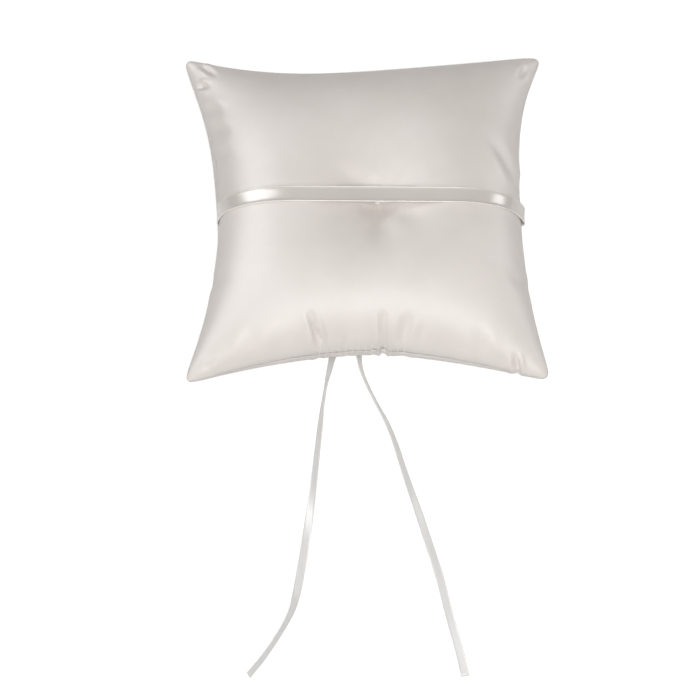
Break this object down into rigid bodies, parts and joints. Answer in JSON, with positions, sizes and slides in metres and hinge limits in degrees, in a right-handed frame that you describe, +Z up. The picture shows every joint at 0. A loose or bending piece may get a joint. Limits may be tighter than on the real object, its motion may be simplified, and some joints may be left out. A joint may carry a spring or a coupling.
{
  "type": "ring bearer pillow",
  "caption": "Square stuffed satin ring pillow lying on its face, with a ribbon hand strap across its tufted back and loose ribbon tails.",
  "frame": {"origin": "centre of the pillow's base on the surface it lies on, the loose ribbon tails left out", "axes": "+Z up through the pillow's thickness, +X along the hand strap, -Y towards the edge that the ribbon tails come out under"},
  "size_m": [0.1996, 0.3771, 0.0529],
  "materials": {
    "ivory_satin": "satin",
    "strap_ribbon": "satin",
    "ring_ribbon": "satin",
    "sewing_thread": "matte",
    "polyester_fibre": "matte"
  },
  "bodies": {
    "root": {"back_panel": "ivory_satin", "front_panel": "ivory_satin", "fibre_filling": "polyester_fibre", "hand_strap": "strap_ribbon", "ring_ribbon_left": "ring_ribbon", "ring_ribbon_right": "ring_ribbon", "seam_thread": "sewing_thread", "closing_thread": "sewing_thread", "strap_stitch_left": "sewing_thread", "strap_stitch_right": "sewing_thread", "tuft_thread": "sewing_thread", "tuft_knot": "sewing_thread", "ribbon_tack": "sewing_thread"}
  },
  "joints": []
}
